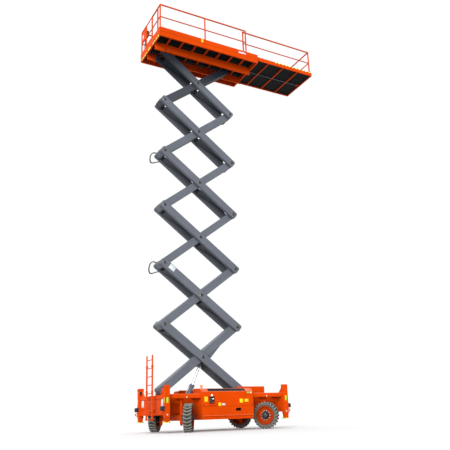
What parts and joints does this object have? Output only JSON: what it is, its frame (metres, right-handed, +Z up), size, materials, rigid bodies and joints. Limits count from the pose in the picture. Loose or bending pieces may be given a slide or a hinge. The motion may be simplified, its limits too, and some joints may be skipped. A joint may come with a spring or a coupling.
{
  "type": "rough-terrain scissor lift",
  "caption": "Rough-terrain scissor lift, raised on its scissor stack, extension deck run out, steered wheels and corner jacks.",
  "frame": {"origin": "on the ground under the middle of the chassis", "axes": "+Z up, +X towards the end that the extension deck runs out over, -Y the machine's right side"},
  "size_m": [7.035, 2.937, 15.3543],
  "materials": {
    "orange": "gloss safety orange enamel",
    "arm_grey": "satin blue-grey enamel",
    "deck_black": "matt black paint",
    "dark_iron": "black painted casting",
    "tyre": "dusty black rubber",
    "black_rubber": "moulded black rubber",
    "black_plastic": "moulded black plastic",
    "chrome": "ground hard chrome",
    "engine_grey": "grey painted casting",
    "amber_lens": "amber polycarbonate"
  },
  "bodies": {
    "chassis": {"chassis_frame": "orange", "rear_end_beam": "orange", "front_end_beam": "orange", "rear_axle": "orange", "front_axle": "orange", "right_pod_tray": "orange", "left_pod_tray": "orange", "engine": "engine_grey", "ladder": "orange", "bumpers": "black_rubber", "beacon": "amber_lens", "lamps": "black_plastic"},
    "inner_1": {"inner_arm_1": "arm_grey"},
    "outer_1": {"outer_arm_1": "arm_grey"},
    "inner_2": {"inner_arm_2": "arm_grey"},
    "outer_2": {"outer_arm_2": "arm_grey"},
    "inner_3": {"inner_arm_3": "arm_grey"},
    "outer_3": {"outer_arm_3": "arm_grey"},
    "inner_4": {"inner_arm_4": "arm_grey"},
    "outer_4": {"outer_arm_4": "arm_grey"},
    "inner_5": {"inner_arm_5": "arm_grey"},
    "outer_5": {"outer_arm_5": "arm_grey"},
    "inner_6": {"inner_arm_6": "arm_grey"},
    "outer_6": {"outer_arm_6": "arm_grey"},
    "platform": {"platform_frame": "orange", "platform_keels": "orange", "platform_floor": "deck_black", "platform_rails": "orange", "control_box": "black_plastic"},
    "gate": {"gate": "orange"},
    "extension": {"extension_frame": "orange", "extension_cylinder": "arm_grey", "extension_floor": "deck_black", "extension_rails": "orange"},
    "cylinder_barrel": {"lift_cylinder_barrel": "arm_grey"},
    "cylinder_rod": {"lift_cylinder_rod": "chrome"},
    "jack_rear_right": {"jack_rear_right": "orange"},
    "knuckle_rear_right": {"knuckle_rear_right": "dark_iron"},
    "wheel_rear_right": {"hub_rear_right": "dark_iron", "rim_rear_right": "orange", "tyre_rear_right": "tyre"},
    "jack_rear_left": {"jack_rear_left": "orange"},
    "knuckle_rear_left": {"knuckle_rear_left": "dark_iron"},
    "wheel_rear_left": {"hub_rear_left": "dark_iron", "rim_rear_left": "orange", "tyre_rear_left": "tyre"},
    "jack_front_right": {"jack_front_right": "orange"},
    "knuckle_front_right": {"knuckle_front_right": "dark_iron"},
    "wheel_front_right": {"hub_front_right": "dark_iron", "rim_front_right": "orange", "tyre_front_right": "tyre"},
    "jack_front_left": {"jack_front_left": "orange"},
    "knuckle_front_left": {"knuckle_front_left": "dark_iron"},
    "wheel_front_left": {"hub_front_left": "dark_iron", "rim_front_left": "orange", "tyre_front_left": "tyre"},
    "right_hood": {"right_hood": "orange", "right_grille": "dark_iron"},
    "left_hood": {"left_hood": "orange", "left_grille": "dark_iron"}
  },
  "joints": [
    {"name": "lift", "type": "hinge", "parent": "chassis", "child": "inner_1", "pos_m": [-1.876, 0, 1.291], "axis": [0, -1, 0], "range_deg": [-32, 0]},
    {"name": "cross_1", "type": "hinge", "parent": "inner_1", "child": "outer_1", "pos_m": [-0.49999, 0, 2.33544], "axis": [0, -1, 0], "range_deg": [0, 64]},
    {"name": "join_2", "type": "hinge", "parent": "outer_1", "child": "inner_2", "pos_m": [-1.876, 0, 3.37989], "axis": [0, -1, 0], "range_deg": [-64, 0]},
    {"name": "cross_2", "type": "hinge", "parent": "inner_2", "child": "outer_2", "pos_m": [-0.49999, 0, 4.42433], "axis": [0, -1, 0], "range_deg": [0, 64]},
    {"name": "join_3", "type": "hinge", "parent": "outer_2", "child": "inner_3", "pos_m": [-1.876, 0, 5.46878], "axis": [0, -1, 0], "range_deg": [-64, 0]},
    {"name": "cross_3", "type": "hinge", "parent": "inner_3", "child": "outer_3", "pos_m": [-0.49999, 0, 6.51322], "axis": [0, -1, 0], "range_deg": [0, 64]},
    {"name": "join_4", "type": "hinge", "parent": "outer_3", "child": "inner_4", "pos_m": [-1.876, 0, 7.55767], "axis": [0, -1, 0], "range_deg": [-64, 0]},
    {"name": "cross_4", "type": "hinge", "parent": "inner_4", "child": "outer_4", "pos_m": [-0.49999, 0, 8.60211], "axis": [0, -1, 0], "range_deg": [0, 64]},
    {"name": "join_5", "type": "hinge", "parent": "outer_4", "child": "inner_5", "pos_m": [-1.876, 0, 9.64656], "axis": [0, -1, 0], "range_deg": [-64, 0]},
    {"name": "cross_5", "type": "hinge", "parent": "inner_5", "child": "outer_5", "pos_m": [-0.49999, 0, 10.691], "axis": [0, -1, 0], "range_deg": [0, 64]},
    {"name": "join_6", "type": "hinge", "parent": "outer_5", "child": "inner_6", "pos_m": [-1.876, 0, 11.73545], "axis": [0, -1, 0], "range_deg": [-64, 0]},
    {"name": "cross_6", "type": "hinge", "parent": "inner_6", "child": "outer_6", "pos_m": [-0.49999, 0, 12.77989], "axis": [0, -1, 0], "range_deg": [0, 64]},
    {"name": "platform_level", "type": "hinge", "parent": "outer_6", "child": "platform", "pos_m": [-1.876, 0, 13.82434], "axis": [0, -1, 0], "range_deg": [-32, 0]},
    {"name": "cylinder_swing", "type": "hinge", "parent": "chassis", "child": "cylinder_barrel", "pos_m": [-1.12, 0, 0.6], "axis": [0, -1, 0], "range_deg": [-29.62, 0]},
    {"name": "cylinder_stroke", "type": "slide", "parent": "cylinder_barrel", "child": "cylinder_rod", "axis": [0.3989, 0, 0.917], "range_m": [-0.5663, 0]},
    {"name": "steer_rear_right", "type": "hinge", "parent": "chassis", "child": "knuckle_rear_right", "pos_m": [-1.52, -0.97, 0.42], "axis": [0, 0, 1], "range_deg": [-110, 0]},
    {"name": "steer_rear_left", "type": "hinge", "parent": "chassis", "child": "knuckle_rear_left", "pos_m": [-1.52, 0.97, 0.42], "axis": [0, 0, 1], "range_deg": [-110, 0]},
    {"name": "steer_front_right", "type": "hinge", "parent": "chassis", "child": "knuckle_front_right", "pos_m": [1.52, -0.97, 0.42], "axis": [0, 0, 1], "range_deg": [0, 94]},
    {"name": "steer_front_left", "type": "hinge", "parent": "chassis", "child": "knuckle_front_left", "pos_m": [1.52, 0.97, 0.42], "axis": [0, 0, 1], "range_deg": [0, 94]},
    {"name": "roll_rear_right", "type": "hinge", "parent": "knuckle_rear_right", "child": "wheel_rear_right", "pos_m": [-1.38431, -1.05479, 0.42], "axis": [0.848, -0.5299, 0], "continuous": true},
    {"name": "roll_rear_left", "type": "hinge", "parent": "knuckle_rear_left", "child": "wheel_rear_left", "pos_m": [-1.64608, 1.06851, 0.42], "axis": [-0.788, 0.6157, 0], "continuous": true},
    {"name": "roll_front_right", "type": "hinge", "parent": "knuckle_front_right", "child": "wheel_front_right", "pos_m": [1.39743, -1.07285, 0.42], "axis": [-0.766, -0.6428, 0], "continuous": true},
    {"name": "roll_front_left", "type": "hinge", "parent": "knuckle_front_left", "child": "wheel_front_left", "pos_m": [1.63115, 1.08509, 0.42], "axis": [0.6947, 0.7193, 0], "continuous": true},
    {"name": "jack_rear_right_down", "type": "slide", "parent": "chassis", "child": "jack_rear_right", "axis": [0, 0, -1], "range_m": [0, 0.4]},
    {"name": "jack_rear_left_down", "type": "slide", "parent": "chassis", "child": "jack_rear_left", "axis": [0, 0, -1], "range_m": [0, 0.4]},
    {"name": "jack_front_right_down", "type": "slide", "parent": "chassis", "child": "jack_front_right", "axis": [0, 0, -1], "range_m": [0, 0.4]},
    {"name": "jack_front_left_down", "type": "slide", "parent": "chassis", "child": "jack_front_left", "axis": [0, 0, -1], "range_m": [0, 0.4]},
    {"name": "extend", "type": "slide", "parent": "platform", "child": "extension", "axis": [1, 0, 0], "range_m": [-2.75, 0]},
    {"name": "gate_swing", "type": "hinge", "parent": "platform", "child": "gate", "pos_m": [-2.337, -0.116, 14.82434], "axis": [0, 0, 1], "range_deg": [-90, 0]},
    {"name": "right_hood_open", "type": "hinge", "parent": "chassis", "child": "right_hood", "pos_m": [0, -0.592, 1.288], "axis": [-1, 0, 0], "range_deg": [0, 70]},
    {"name": "left_hood_open", "type": "hinge", "parent": "chassis", "child": "left_hood", "pos_m": [0, 0.592, 1.288], "axis": [1, 0, 0], "range_deg": [0, 70]}
  ],
  "couplings": [
    {"joint": "cross_1", "follows": "lift", "ratio": -2},
    {"joint": "join_2", "follows": "lift", "ratio": 2},
    {"joint": "cross_2", "follows": "lift", "ratio": -2},
    {"joint": "join_3", "follows": "lift", "ratio": 2},
    {"joint": "cross_3", "follows": "lift", "ratio": -2},
    {"joint": "join_4", "follows": "lift", "ratio": 2},
    {"joint": "cross_4", "follows": "lift", "ratio": -2},
    {"joint": "join_5", "follows": "lift", "ratio": 2},
    {"joint": "cross_5", "follows": "lift", "ratio": -2},
    {"joint": "join_6", "follows": "lift", "ratio": 2},
    {"joint": "cross_6", "follows": "lift", "ratio": -2},
    {"joint": "platform_level", "follows": "lift", "ratio": 1},
    {"joint": "cylinder_swing", "follows": "lift", "ratio": 0.91},
    {"joint": "cylinder_stroke", "follows": "lift", "m_per_rad": 1.005},
    {"joint": "steer_rear_left", "follows": "steer_rear_right", "ratio": 1},
    {"joint": "steer_front_left", "follows": "steer_front_right", "ratio": 1}
  ]
}
